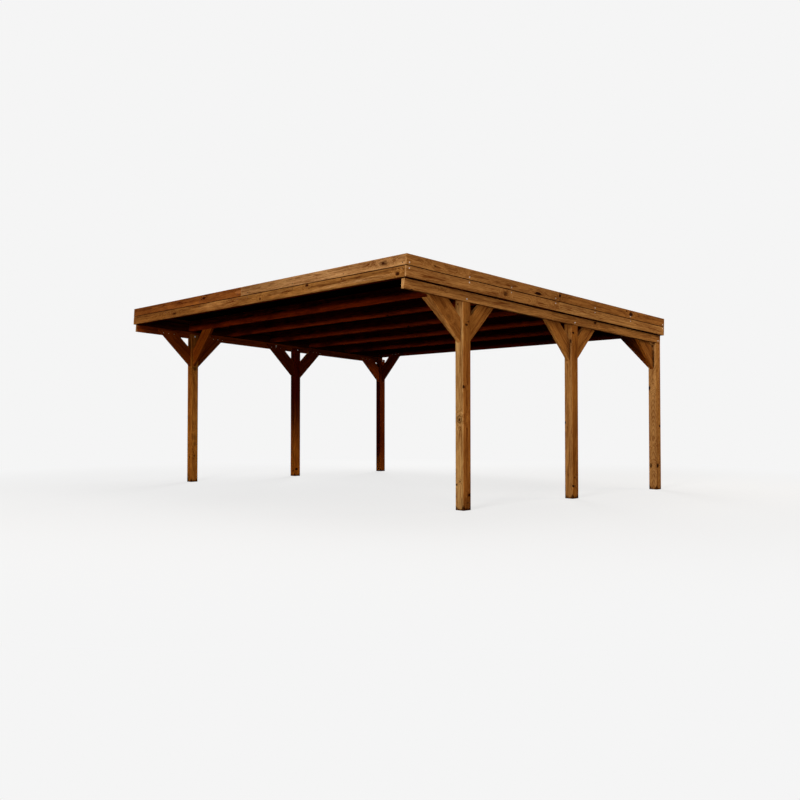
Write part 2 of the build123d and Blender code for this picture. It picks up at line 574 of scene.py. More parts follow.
def from_arris(given: Given) -> Wire:
    """Distance from the nearest arris: the larger of those from its two faces."""
    _, across, depth = (given.half - abs(given.vector)).parts()
    return across.larger(depth)


@effect(vector=ORIGIN, half=(0.0, 0.06, 0.06), reach=0.006)
def arris_wear(given: Given) -> Wires:
    """Rubbed and thinly stained long edges.

    Args:
        given: The inputs by name.

    Returns:
        The wear, broken up along the edges.
    """
    patchy = given.vector.noise((9.0, 40.0, 40.0))
    near = from_arris(given) / given.reach
    return {"wear": near.band(1.0, 0.1) * patchy.band(0.32, 0.62)}


@effect(normal=UPWARD, run=ALONG_X)
def end_cut(given: Given) -> Wires:
    """Sawn ends, where the fibres stand up: the faces square to the run of the grain."""
    lined = abs(given.normal.maths("DOT_PRODUCT", given.run))
    return {"end": lined.band(0.45, 0.6)}


@effect(vector=ORIGIN, half=(0.0, 0.06, 0.06), foot=-1.2, height=0.045)
def ground_damp(given: Given) -> Wires:
    """Damp, splashed earth and painted shade low on a post, climbing higher at the corners.

    Args:
        given: The inputs by name.

    Returns:
        The damp and the painted shade.
    """
    level = (given.vector.parts()[0] - given.foot) / given.height
    corner = from_arris(given).band(0.035, 0.0)
    patchy = given.vector.noise((12.0, 30.0, 30.0)) - 0.5
    return {"damp": (level - corner * 0.7 + patchy * 1.4).band(0.9, 0.0)}


@effect(vector=ORIGIN, line=BEYOND, half_width=0.0044)
def shadow_groove(given: Given) -> Wires:
    """Painted shade along a line of the member: a groove between boards, or a plate's top edge."""
    away = abs(given.vector.parts()[1] - given.line) / given.half_width
    return {"groove": away.band(1.1, 0.75)}


@effect(vector=ORIGIN, normal=UPWARD)
def settled_dust(given: Given) -> Wires:
    """Dust and weathering, in patches on faces that look up."""
    patchy = given.vector.noise((5.0, 2.2, 5.0), 3.0, 0.6)
    return {"dust": given.normal.parts()[2].band(0.35, 0.95) * patchy.band(0.3, 0.75)}


@effect(vector=ORIGIN, normal=UPWARD, toward=ALONG_X, low=BEYOND, high=2 * BEYOND, below=BEYOND)
def sheltered_face(given: Given) -> Wires:
    """Painted shade and light: faces turned one way, and the band along each for the roof's shadow.

    Args:
        given: The inputs by name.

    Returns:
        The face, and its band of painted roof shade.
    """
    along, across, _ = given.vector.parts()
    face = given.normal.maths("DOT_PRODUCT", given.toward).band(0.25, 0.45)
    face = face * across.maths("LESS_THAN", given.below)
    level = given.vector.noise((3.0, 30.0, 30.0)) * 0.4 + along
    return {"face": face, "eaves": face * level.band(given.low, given.high)}


# Limits between which the fibres' noise goes from pale to dark
FIBRE_LIMITS = {"broad": (0.38, 0.64), "band": (0.34, 0.66), "fine": (0.32, 0.68), "cloud": (0.32, 0.68)}
# Weights of the marks, and where they start from, in depth of colour, roughness and relief
DEPTH_START, ROUGH_START, RELIEF_START = -0.235, 0.86, 0.0
DEPTH = {"rings": 0.34, "broad": 0.30, "band": 0.27, "fine": 0.30, "cloud": 0.18, "heartwood": 0.08}
ROUGH = {"rings": -0.08, "knot": -0.14, "end": 0.10, "dust": 0.08}
RELIEF = {"rings": 0.45, "fine": 0.55, "broad": 0.35, "heart": -0.9}
# Factors on the colour where a mark is
TINTS = {
    "heart": (0.42, 0.36, 0.32),
    "end": (1.02, 1.22, 1.60),
    "wear": (1.34, 1.46, 1.60),
    # Damp, and painted shade where a post meets the ground
    "damp": (0.17, 0.12, 0.09),
    # Painted shade along a groove or under the fascia
    "groove": (0.05, 0.03, 0.02),
}
DUST_COLOUR = linear(132, 118, 100)
KNOT_COVER, DUST_COVER = 0.95, 0.30


def weigh(marks: Wires, weights: dict[str, float], start: float) -> Wire:
    """Add up marks by their weights.

    Args:
        marks: The marks by name.
        weights: The weight of each that counts.
        start: What the sum starts from.

    Returns:
        The sum.
    """
    total = start
    for name, weight in weights.items():
        total = marks[name] * weight + total
    return total


@effect(
    pale=(0.4, 0.2, 0.08, 1.0),
    dark=(0.15, 0.06, 0.02, 1.0),
    knot_colour=(0.03, 0.01, 0.005, 1.0),
    rings=0.0,
    heartwood=0.0,
    broad=0.5,
    fine=0.5,
    cloud=0.5,
    band=0.5,
    knot=0.0,
    heart=0.0,
    end=0.0,
    wear=0.0,
    damp=0.0,
    groove=0.0,
    dust=0.0,
)
def timber_colour(given: Given) -> Wires:
    """The marks of the timber laid over each other, from the wood outwards.

    Args:
        given: The inputs by name.

    Returns:
        The colour, the roughness and the height.
    """
    marks = vars(given)
    spread = {name: marks[name].band(*limits) for name, limits in FIBRE_LIMITS.items()}
    depth = weigh(marks | spread, DEPTH, DEPTH_START).clamped()
    colour = depth.blend(given.pale, given.dark)
    colour = (given.knot * KNOT_COVER).blend(colour, given.knot_colour)
    for name, factor in TINTS.items():
        colour = colour.shade(marks[name], factor)
    return {
        "colour": (given.dust * DUST_COVER).blend(colour, DUST_COLOUR),
        "roughness": weigh(marks, ROUGH, ROUGH_START).clamped(),
        "height": weigh(marks, RELIEF, RELIEF_START),
    }


# Timber and its finish


@dataclass(frozen=True)
class KnotPlace:
    """A knot that shows, at its world place on the face of a member.

    The dark says how deep its colour is, the rim how dark its edge, and the bend how far the
    grain leans round it. A place with no dark and a strong bend shows as nested arches, and a
    long stretch as a streak. Some long or soft dark places on the posts are painted shade.
    """

    at: Point
    radius: float = 0.014
    stretch: float = 1.3
    dark: float = 1.0
    bend: float = 1.1
    rim: float = 0.0

    @property
    def ragged(self) -> float:
        """How ragged the edge is: a knot's is rough, a long streak's smooth."""
        return 0.45 if self.stretch > 12 else 1.1


def places(rows: Rows, spot: Callable[[float, float], Vector]) -> tuple[KnotPlace, ...]:
    """Knots from rows of two coordinates on a face, then the knot's own values."""
    return tuple(KnotPlace(tuple(spot(*row[:2])), *row[2:]) for row in rows)


# Linear colour of the stain at its lightest, and the powers by which it falls as red does
FULL_STAIN = (0.352, 0.162, 0.041)
GREEN_POWER, BLUE_POWER = 1.52, 2.3
LEAST_LEVEL, LEAST_BLUE = 8, 0.0008


@dataclass(frozen=True)
class Stain:
    """Walnut wood stain on one board: how light it is, and how deep in the shade of brown."""

    level: int = 150
    depth: float = 0.0
    pale_step: int = 28
    dark_step: int = -70

    def shade(self, step: int) -> Colour:
        """Colour at a step from the level, richer in red where it is darker.

        Args:
            step: Steps of screen brightness, above 0 for lighter.

        Returns:
            The linear colour.
        """
        red = linear(max(self.level + step, LEAST_LEVEL), 0, 0)[0]
        share = red / FULL_STAIN[0]
        green = FULL_STAIN[1] * share**GREEN_POWER * (1 - self.depth)
        blue = FULL_STAIN[2] * share**BLUE_POWER * (1 - self.depth) ** 2
        return red, green, max(blue, LEAST_BLUE)


@dataclass(frozen=True)
class Shelter:
    """Painted shade and light on the faces of a member turned one way, as a factor on their colour.

    The roof shade factor comes on top between two places along the member, low and high,
    as painted shade for the roof's shadow. A face that is only partly under the roof is
    painted below a line across the member.
    """

    toward: Point
    factor: Colour
    eaves: Colour = UNCHANGED
    low: float = BEYOND
    high: float = 2 * BEYOND
    below: float = BEYOND


@dataclass(frozen=True)
class Member:
    """One length of timber, with the axes that its grain is laid along.

    The run is the direction of the grain and the wide axis goes across the wider face. A
    shade line is the distance of a line of painted shade from the middle line, along the wide
    axis, and a foot the place along the run where a post meets the ground.
    """

    node: str
    run: Vector
    wide: Vector
    half: tuple[float, float]
    seed: float
    first: Stain
    pith: tuple[float, float]
    stray: float
    second: Stain | None = None
    centre: Vector | None = None
    joint: float = BEYOND
    spacing: float = 0.0058
    foot: float | None = None
    groove: float | None = None
    groove_half: float = 0.0055
    taper: float = 0.006
    shelters: tuple[Shelter, ...] = ()
    sapwood: tuple[KnotPlace, ...] = ()
    knots: tuple[KnotPlace, ...] = ()

    @property
    def axes(self) -> Matrix:
        """The member's own axes as the columns of a matrix."""
        run = self.run.normalized()
        wide = (self.wide - run * self.wide.dot(run)).normalized()
        return Matrix((run, wide, run.cross(wide))).transposed()

    @property
    def middle(self) -> Vector:
        """The centre that was given, or else the middle of the node's box."""
        return self.centre or sum(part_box(self.node), Vector()) / 2

    def local(self, place: Point) -> Point:
        """A world place in the member's own space."""
        return tuple(self.axes.transposed() @ (Vector(place) - self.middle))


@dataclass(frozen=True)
class StainedTimber:
    """Planed softwood under one coat of brown wood stain."""

    knot: Colour = linear(46, 16, 4)
    sapwood: Colour = (1.40, 1.66, 2.20)
    specular: float = 0.004
    relief: float = 0.0006
    relief_strength: float = 0.6

    def dress(self, member: Member) -> None:
        """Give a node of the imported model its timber, the grain laid along the member.

        Args:
            member: The length of timber.
        """
        graph = SurfaceGraph("timber_" + member.node)
        turn = tuple(member.axes.to_euler("XYZ"))
        inputs = {"Vector": graph.world, "Location": tuple(member.middle), "Rotation": turn}
        own = graph.wire("ShaderNodeMapping", 0, inputs, vector_type="TEXTURE")
        cut = graph.effect(board_cut, vector=own, joint=member.joint, seed=member.seed)
        marks = self.marks(graph, member, own, cut["grain"])
        second = member.second or member.first
        pale, dark = (
            cut["second"].blend(member.first.shade(step), second.shade(step))
            for step in (second.pale_step, second.dark_step)
        )
        stained = graph.effect(timber_colour, pale=pale, dark=dark, knot_colour=self.knot, **marks)
        colour = stained["colour"]
        for streak in member.sapwood:
            colour = colour.shade(self.knot_mark(graph, member, own, streak)["knot"], self.sapwood)
        # Painted shade and light on faces turned one way, and painted roof shade along the member
        for shelter in member.shelters:
            limits = {"low": shelter.low, "high": shelter.high, "below": shelter.below}
            inputs = {"vector": own, "normal": graph.normal, "toward": shelter.toward}
            turned = graph.effect(sheltered_face, **inputs, **limits)
            colour = colour.shade(turned["face"], shelter.factor)
            colour = colour.shade(turned["eaves"], shelter.eaves)
        relief = stained["height"].bump(self.relief_strength, self.relief)
        graph.surface(colour, stained["roughness"], relief, specular=self.specular)
        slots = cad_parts[member.node].data.materials
        slots.clear()
        slots.append(graph.material)

    def marks(self, graph: SurfaceGraph, member: Member, own: Wire, grain: Wire) -> Wires:
        """Lay the knots, rings, fibres and wear of a member.

        Args:
            graph: The material's graph.
            member: The length of timber.
            own: The member's own space.
            grain: The same space, shifted by the member's seed.

        Returns:
            The marks by name.
        """
        marks = graph.effect(stray_knots, vector=grain, share=member.stray)
        for place in member.knots:
            one = self.knot_mark(graph, member, own, place)
            marks = {name: marks[name].larger(one[name]) for name in marks}
        swirl = marks.pop("swirl")
        log = {"spacing": member.spacing, "taper": member.taper, "pith": (0.0, *member.pith)}
        marks |= graph.effect(growth_rings, vector=grain, swirl=swirl, **log)
        marks |= graph.effect(fibre_streaks, vector=grain, swirl=swirl)
        section = {"vector": own, "half": (0.0, *member.half)}
        marks |= graph.effect(arris_wear, **section)
        marks |= graph.effect(end_cut, normal=graph.normal, run=tuple(member.run))
        marks |= graph.effect(settled_dust, vector=graph.world, normal=graph.normal)
        # Damp and painted shade at a post's foot
        if member.foot is not None:
            marks |= graph.effect(ground_damp, foot=member.foot, **section)
        # A line of painted shade along the member
        if member.groove is not None:
            line = {"line": member.groove, "half_width": member.groove_half}
            marks |= graph.effect(shadow_groove, vector=own, **line)
        return marks

    def knot_mark(self, graph: Graph, member: Member, own: Wire, place: KnotPlace) -> Wires:
        """Lay one named knot, or a streak of that shape.

        Args:
            graph: The material's graph.
            member: The length of timber.
            own: The member's own space.
            place: Where it is and what it is like.

        Returns:
            Its knot, heart and swirl by name.
        """
        words = ("radius", "stretch", "dark", "bend", "rim", "ragged")
        values = {word: getattr(place, word) for word in words}
        return graph.effect(knot, vector=own, centre=member.local(place.at), **values)


# The left copy is painted shade for the members on the shaded side: darker knots and no sheen
TIMBERS = {
    Side.RIGHT: StainedTimber(),
    Side.LEFT: StainedTimber(knot=linear(36, 10, 3), specular=0.0),
}


# Other finishes


@dataclass(frozen=True)
class Finish:
    """A procedural finish, made once under its name."""

    name: str

    def material(self) -> Material:
        """Return the material, painting it at the first call.

        Returns:
            The material.
        """
        if self.name not in bpy.data.materials:
            self.paint(SurfaceGraph(self.name))
        return bpy.data.materials[self.name]

    def paint(self, graph: SurfaceGraph) -> None:
        """Fill the material's graph."""
        raise NotImplementedError


@dataclass(frozen=True)
class BrightSteel(Finish):
    """Zinc-plated or stainless steel of the fixings, a little dulled by weather."""

    name: str = "bright_steel"
    pale: Colour = linear(236, 236, 234)
    dull: Colour = linear(190, 188, 184)
    metallic: float = 0.55
    specular: float = 0.5

    def paint(self, graph: SurfaceGraph) -> None:
        """Lay a dulling film over the steel, and fine scratches.

        Args:
            graph: The material's graph.
        """
        film = graph.world.noise((260.0, 260.0, 260.0), 3.0, 0.65).band(0.35, 0.7)
        relief = graph.world.noise((900.0, 900.0, 2200.0)).bump(0.25, 0.0002)
        constants = {"specular": self.specular, "metallic": self.metallic}
        graph.surface(film.blend(self.pale, self.dull), film * 0.22 + 0.34, relief, **constants)


WEATHERED_STEEL = BrightSteel("weathered_steel", linear(206, 206, 206), linear(150, 149, 148), 0.45)
DULLED_STEEL = BrightSteel("dulled_steel", linear(34, 36, 43), linear(22, 23, 28), 0.0, 0.05)


@dataclass(frozen=True)
class CoatedSheet(Finish):
    """Factory-coated ribbed steel: matt, with dust in the troughs and rain runs."""

    name: str = "coated_sheet"
    coat: Colour = linear(62, 60, 60)
    dust: Colour = linear(128, 120, 108)
    specular: float = 0.35

    def paint(self, graph: SurfaceGraph) -> None:
        """Lay dust on the coat, washed off in runs.

        Args:
            graph: The material's graph.
        """
        film = graph.effect(settled_dust, vector=graph.world, normal=graph.normal)["dust"]
        runs = graph.world.noise((46.0, 0.9, 6.0), 3.0, 0.6).band(0.35, 0.7)
        share = film * (runs * 0.45 + 0.12)
        relief = graph.world.noise((900.0, 900.0, 900.0), 1.0).bump(0.2, 0.0002)
        colour = share.blend(self.coat, self.dust)
        graph.surface(colour, share * 0.6 + 0.48, relief, specular=self.specular)


@dataclass(frozen=True)
class SheetBacking(Finish):
    """Near-black, matt painted shade on the underside of the roof sheets."""

    name: str = "sheet_backing"
    lacquer: Colour = linear(17, 12, 10)
    film: Colour = linear(30, 24, 20)

    def paint(self, graph: SurfaceGraph) -> None:
        """Lay a patchy film over the painted shade.

        Args:
            graph: The material's graph.
        """
        patchy = graph.world.noise((9.0, 1.6, 9.0), 3.0, 0.6).band(0.4, 0.75)
        relief = graph.world.noise((700.0, 700.0, 700.0), 1.0).bump(0.2, 0.0002)
        colour = patchy.blend(self.lacquer, self.film)
        graph.surface(colour, patchy * 0.1 + 0.85, relief, specular=0.0)


@dataclass(frozen=True)
class SealRubber(Finish):
    """Black rubber of the washers under the roof screws."""

    name: str = "seal_rubber"
    black: Colour = linear(26, 26, 27)
    worn: Colour = linear(52, 50, 49)

    def paint(self, graph: SurfaceGraph) -> None:
        """Wear the rubber in patches."""
        film = graph.world.noise((180.0, 180.0, 180.0)).band(0.4, 0.7)
        graph.surface(film.blend(self.black, self.worn), film * 0.15 + 0.72, None, specular=0.5)


# Fixings


class Ring(NamedTuple):
    """One ring of a turned shape, which may have lobes, as a drive recess and a nut have."""

    height: float
    radius: float
    lobe: float = 0.0
    count: int = 0


@dataclass(frozen=True)
class Turned:
    """A turned shape: rings of points from the foot up, each of a height and a radius."""

    rings: tuple[Ring | tuple[float, float], ...]
    steps: int = 24

    def add(self, mesh: bmesh.types.BMesh, at: Vector, facing: Vector, turn: float, finish: int) -> None:
        """Add one such shape to a mesh.

        Args:
            mesh: The mesh to add to.
            at: World place of the foot.
            facing: Direction that the shape points.
            turn: Turn about its axis in radians.
            finish: Number of the material slot.
        """
        basis = facing.normalized().to_track_quat("Z", "Y").to_matrix()
        rings = [Ring(*ring) for ring in self.rings]
        loops = []
        for ring in rings:
            loop = []
            for step in range(self.steps):
                angle = 2 * math.pi * step / self.steps + turn
                reach = ring.radius * (1 + ring.lobe * math.cos(ring.count * (angle - turn)))
                spot = Vector((reach * math.cos(angle), reach * math.sin(angle), ring.height))
                loop.append(mesh.verts.new(at + basis @ spot))
            loops.append(loop)
        for lower, upper in zip(loops, loops[1:]):
            for step in range(self.steps):
                after = (step + 1) % self.steps
                face = mesh.faces.new((lower[step], lower[after], upper[after], upper[step]))
                face.material_index = finish
                face.smooth = True
        for loop, ring in ((loops[0][::-1], rings[0]), (loops[-1], rings[-1])):
            middle = mesh.verts.new(at + basis @ Vector((0, 0, ring.height)))
            for step in range(self.steps):
                face = mesh.faces.new((loop[step], loop[(step + 1) % self.steps], middle))
                face.material_index = finish


def hexagon(low: float, high: float, across: float, ease: float, steps: int = 24) -> Turned:
    """A hexagon prism with chamfered ends.

    Args:
        low: Height of its foot.
        high: Height of its top.
        across: Width across the flats.
        ease: Size of the chamfer.
        steps: Number of points to a ring.

    Returns:
        The shape.
    """
    lobe = (1 - math.cos(math.pi / 6)) / 2
    reach = across / 2 * (1 + lobe)
    foot, top = (low, reach - ease), (high, reach - ease)
    sides = Ring(low + ease, reach, lobe, 6), Ring(high - ease, reach, lobe, 6)
    return Turned((foot, *sides, top), steps)


@dataclass(frozen=True)
class ScrewHead:
    """A low screw head with a star recess, sunk a little into the wood.

    The recess is given by its radius at the top and at the bottom, as shares of the head's.
    """

    radius: float = 0.0066
    sink: float = 0.0012
    dome: float = 0.0011
    lobe: float = 0.16
    lobes: int = 6
    recess: tuple[float, float] = (0.40, 0.34)

    def shape(self) -> Turned:
        """Lay out the rings of the head.

        Returns:
            The head as a turned shape.
        """
        outside = ((0.0, 1.0), (0.45, 0.97), (0.85, 0.78), (1.0, 0.55))
        rings = [(-self.sink, self.radius * 0.80)]
        rings += [(self.dome * up, self.radius * out) for up, out in outside]
        for height, share in zip((self.dome, -self.sink * 0.7), self.recess):
            rings.append(Ring(height, self.radius * share, self.lobe, self.lobes))
        return Turned(tuple(rings))


@dataclass(frozen=True)
class BoltHead:
    """The domed head of a carriage bolt, on a thin rim."""

    radius: float = 0.0090
    dome: float = 0.0040
    sink: float = 0.0010
    rim: float = 0.0006
    steps: int = 7

    def shape(self) -> Turned:
        """Lay out the rings of the head.

        Returns:
            The head as a turned shape.
        """
        rings = [(-self.sink, self.radius * 0.94), (0.0, self.radius)]
        for step in range(1, self.steps):
            angle = step / self.steps * math.pi / 2
            rings.append((self.dome * math.sin(angle) + self.rim, self.radius * math.cos(angle)))
        return Turned((*rings, (self.dome + self.rim, self.radius * 0.10)))


@dataclass(frozen=True)
class NutOnWasher:
    """A washer, a nut and the end of the bolt, on the inner face of a post tongue.

    The thread starts hidden in the nut and stops at its run-out. Its root and its tip are
    shares of the bolt's radius.
    """

    washer_radius: float = 0.0135
    washer: float = 0.0026
    sink: float = 0.0008
    nut_across: float = 0.0170
    nut: float = 0.0085
    ease: float = 0.0009
    bolt_radius: float = 0.0050
    proud: float = 0.0060
    pitch: float = 0.0015
    hidden: float = 0.0006
    run_out: float = 0.0009
    root: float = 0.84
    tip: float = 0.74

    def shapes(self) -> tuple[Turned, ...]:
        """Lay out the rings of the washer, the nut and the threaded end.

        Returns:
            The three as turned shapes.
        """
        thick, reach, bolt = self.washer, self.washer_radius, self.bolt_radius
        washer = (
            (-self.sink, reach * 0.97),
            (thick * 0.25, reach),
            (thick * 0.8, reach),
            (thick, reach * 0.95),
        )
        thread = [(thick, bolt)]
        level = thick + self.nut - self.hidden
        top = thick + self.nut + self.proud
        while level < top - self.run_out:
            thread += [(level, bolt * self.root), (level + self.pitch / 2, bolt)]
            level += self.pitch
        thread.append((top, bolt * self.tip))
        nut = hexagon(thick, thick + self.nut, self.nut_across, self.ease)
        return Turned(washer), nut, Turned(tuple(thread))


@dataclass(frozen=True)
class RoofScrew:
    """A hexagon-headed roof screw with its steel and rubber washer."""

    rubber_radius: float = 0.0085
    rubber: float = 0.0028
    head_across: float = 0.0080
    head: float = 0.0052
    head_up: float = 0.0012
    plate: float = 0.0013
    plate_edge: float = 0.0009
    ease: float = 0.0005

    def shapes(self) -> tuple[tuple[Turned, int], ...]:
        """Lay out the rings of the rubber, the steel washer and the head.

        Returns:
            The three as turned shapes, each with its finish number.
        """
        reach, thick = self.rubber_radius, self.rubber
        seal = ((-0.0004, reach), (thick * 0.5, reach * 1.04), (thick, reach * 0.96))
        edge, top = thick + self.plate_edge, thick + self.plate
        plate = ((thick, reach * 0.94), (edge, reach * 0.92), (top, reach * 0.7))
        low = thick + self.head_up
        head = hexagon(low, low + self.head, self.head_across, self.ease, 12)
        return (Turned(seal, 16), 1), (Turned(plate, 16), 0), (head, 0)


class FixingSet:
    """One piece that holds all the fixings of a kind on one part of the frame."""

    def __init__(self, name: str, *finishes: Finish) -> None:
        """Start an empty set.

        Args:
            name: Name of the piece.
            *finishes: Its finishes in slot order.
        """
        self.name = name
        self.finishes = finishes
        self.mesh = bmesh.new()
        self.count = 0
        self.chance = random.Random(name)

    def add(self, at: Vector, facing: Vector, *shapes: tuple[Turned, int] | Turned) -> None:
        """Add one fixing, turned by chance about its axis.

        Args:
            at: World place of its foot.
            facing: Direction that it points.
            *shapes: Its shapes, each with its finish number unless that is 0.
        """
        turn = self.chance.uniform(0, 2 * math.pi)
        for entry in shapes:
            shape, finish = (entry, 0) if isinstance(entry, Turned) else entry
            shape.add(self.mesh, at, facing, turn, finish)
        self.count += 1

    def finish(self) -> None:
        """Make the piece, riding on the carport."""
        data = bpy.data.meshes.new(self.name)
        bmesh.ops.recalc_face_normals(self.mesh, faces=self.mesh.faces)
        self.mesh.to_mesh(data)
        self.mesh.free()
        for finish in self.finishes:
            data.materials.append(finish.material())
        piece = bpy.data.objects.new(self.name, data)
        bpy.context.scene.collection.objects.link(piece)
        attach(piece, BODY)
        LOG.info("%s: %d fixings, %d faces", self.name, self.count, len(data.polygons))


# Sub-assemblies


@dataclass(frozen=True)
class Posts:
    """Six square posts with shouldered heads."""

    size: float = 0.120
    outer: float = 3.007
    shoulder: float = -0.357
    seam_in: float = 0.039
    seam_up: float = 0.15
    seeds: tuple[float, float, float] = (3.1, 2.7, 11.3)
    stains: ClassVar[dict[str, Stain]] = {
        "front_right": Stain(164, -0.01),
        "middle_right": Stain(157, 0.11),
        "rear_right": Stain(176, 0.17),
        "front_left": Stain(160, 0.12),
        "middle_left": Stain(160, 0.12),
        "rear_left": Stain(154, 0.12),
    }
    # Ring spacing and taper of a post that was cut from a wide-grained log
    wide_grained: ClassVar[dict[str, tuple[float, float]]] = {"rear_right": (0.0100, 0.13)}
    # Ring spacing and taper of the other posts
    plain_log: ClassVar[tuple[float, float]] = (0.0062, 0.006)
    # Radius and stretch of the lines of painted shade beside the brace foot and at the shoulder, and
    # their depth
    seam_line: ClassVar[tuple[float, float]] = (0.009, 17.0)
    shoulder_line: ClassVar[tuple[float, float]] = (0.070, 0.07)
    lines: ClassVar[dict[str, float]] = {"front_right": 0.45, "middle_right": 0.85, "rear_right": 1.0}
    # Painted shade and light by post: factors on faces turned one way, and bands near the head or up the
    # post for the roof's shadow
    shelters: ClassVar[dict[str, tuple[Shelter, ...]]] = {
        "front_right": (
            Shelter((1, 0, 0), (0.97, 0.64, 0.36), (0.78, 0.82, 0.85), 0.65, 1.00),
            Shelter((0, -1, 0), UNCHANGED, (1.02, 0.92, 0.86), 1.05, 1.20),
        ),
        "middle_right": (
            Shelter((1, 0, 0), (0.99, 0.78, 0.48), (0.88, 0.86, 0.86), 0.65, 1.00),
            Shelter((0, -1, 0), UNCHANGED, (1.08, 0.95, 0.80), 1.05, 1.20),
        ),
        "rear_right": (Shelter((1, 0, 0), (1.0, 0.92, 0.76)),),
        "front_left": (Shelter((0.7, -0.7, 0), (1.01, 0.77, 0.38), (0.66, 0.66, 0.80), 1.00, 1.20),),
        "middle_left": (Shelter((0.7, -0.7, 0), (1.12, 0.66, 0.22), (0.27, 0.07, 0.14), -0.48, 0.55),),
        "rear_left": (
            Shelter((1, 0, 0), (0.92, 0.46, 0.12), (0.66, 0.48, 0.60), -0.85, -0.40),
            Shelter((0, -1, 0), (1.85, 1.15, 0.30), (0.20, 0.08, 0.30), -0.92, -0.45),
        ),
    }
    # Knots by post: x, y, z, then the values of a KnotPlace
    knots: ClassVar[dict[str, Rows]] = {
        "front_right": (
            (2.948, -1.667, 1.005, 0.030, 1.1, 0.22, 1.1, 0.7),
            (2.947, -1.667, 1.000, 0.016, 1.2, 0.85, 0.0),
            (3.004, -1.664, 1.363, 0.010, 2.0),
            (2.954, -1.667, 0.317, 0.009),
            (2.905, -1.667, 0.281, 0.011),
            (3.007, -1.569, 0.168, 0.011, 1.6),
            (3.007, -1.602, 0.082, 0.007, 1.3, 0.7),
            # Painted shade at the foot, where the post meets the ground
            (3.007, -1.607, 0.070, 0.060, 1.6, 0.25, 0.0),
            (3.007, -1.619, 2.050, 0.010, 1.3),
            (3.007, -1.583, 2.086, 0.008, 1.2, 0.7),
            (2.925, -1.667, 2.282, 0.009, 1.0),
        ),
        "middle_right": (
            (3.007, 0.402, 2.103, 0.011, 1.4),
            (2.985, 0.378, 1.996, 0.013, 2.2),
            (3.007, 0.386, 0.160, 0.012, 1.4),
            (3.007, 0.412, 0.268, 0.009, 1.2, 0.55),
            (3.007, 0.446, 0.300, 0.007, 1.2, 0.5),
            (2.893, 0.378, 0.960, 0.012, 1.6),
        ),
        "rear_right": (
            (2.916, 2.418, 0.339, 0.014, 2.6),
            (3.007, 2.449, 0.341, 0.013, 2.4),
            (2.900, 2.418, 1.455, 0.016, 1.8),
            (2.960, 2.418, 0.500, 0.045, 1.6, 0.0, 0.9),
            (2.966, 2.418, 1.600, 0.045, 1.6, 0.0, 0.9),
        ),
        "front_left": (
            (-2.888, -1.611, 0.417, 0.010, 1.4, 0.7),
            (-2.888, -1.599, 0.719, 0.016, 3.6, 0.32),
            (-2.888, -1.598, 0.612, 0.014, 3.0, 0.32),
            (-2.929, -1.667, 0.395, 0.014, 1.6),
            # The next two are painted shade at the foot, where the post meets the ground
            (-2.995, -1.667, 0.030, 0.030, 1.2),
            (-2.960, -1.667, 0.090, 0.050, 1.6, 0.25, 0.0),
            (-2.887, -1.607, 1.819, 0.018, 2.0, 0.55),
        ),
        "middle_left": ((-2.888, 0.420, 0.120, 0.012, 2.0), (-2.935, 0.378, 0.091, 0.012, 1.4)),
    }

    def member(self, row: Row, side: Side, seed: float) -> Member:
        """The timber of one post.

        Args:
            row: The row that it stands in.
            side: The side that it stands on.
            seed: Seed of its grain.

        Returns:
            The length of timber.
        """
        key = f"{row.word}_{side.word}"
        node = "post_" + key
        low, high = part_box(node)
        knots = tuple(KnotPlace(spot[:3], *spot[3:]) for spot in self.knots.get(key, ()))
        # Lines of painted shade beside the forward brace's foot and at the shoulder under the plate
        if key in self.lines:
            foot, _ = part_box(f"brace_{key}_forward")
            seam = (self.outer - self.seam_in, low.y, foot.z + self.seam_up)
            shoulder = PLANE.at(self.outer, PLANE.along_of(row.value, self.shoulder), self.shoulder)
            knots += (KnotPlace(seam, *self.seam_line, self.lines[key], 0.0),)
            knots += (KnotPlace(tuple(shoulder), *self.shoulder_line, self.lines[key], 0.0),)
        spacing, taper = self.wide_grained.get(key, self.plain_log)
        return Member(
            node,
            run=Vector(UPWARD),
            wide=Vector(ALONG_X),
            half=(self.size / 2, self.size / 2),
            seed=seed,
            first=self.stains[key],
            pith=(0.012 * math.sin(seed), 0.016 * math.cos(seed)),
            stray=0.14,
            spacing=spacing,
            taper=taper,
            foot=-(high.z - low.z) / 2,
            shelters=self.shelters[key],
            knots=knots,
        )

    def build(self) -> None:
        """Dress the six posts."""
        start, by_row, by_side = self.seeds
        for number, row in enumerate(Row):
            for side in Side:
                seed = start + by_row * number + by_side * (side is Side.RIGHT)
                member = self.member(row, side, seed)
                TIMBERS[side].dress(member)
                LOG.info("%s: stained, %d knots placed", member.node, len(member.knots))


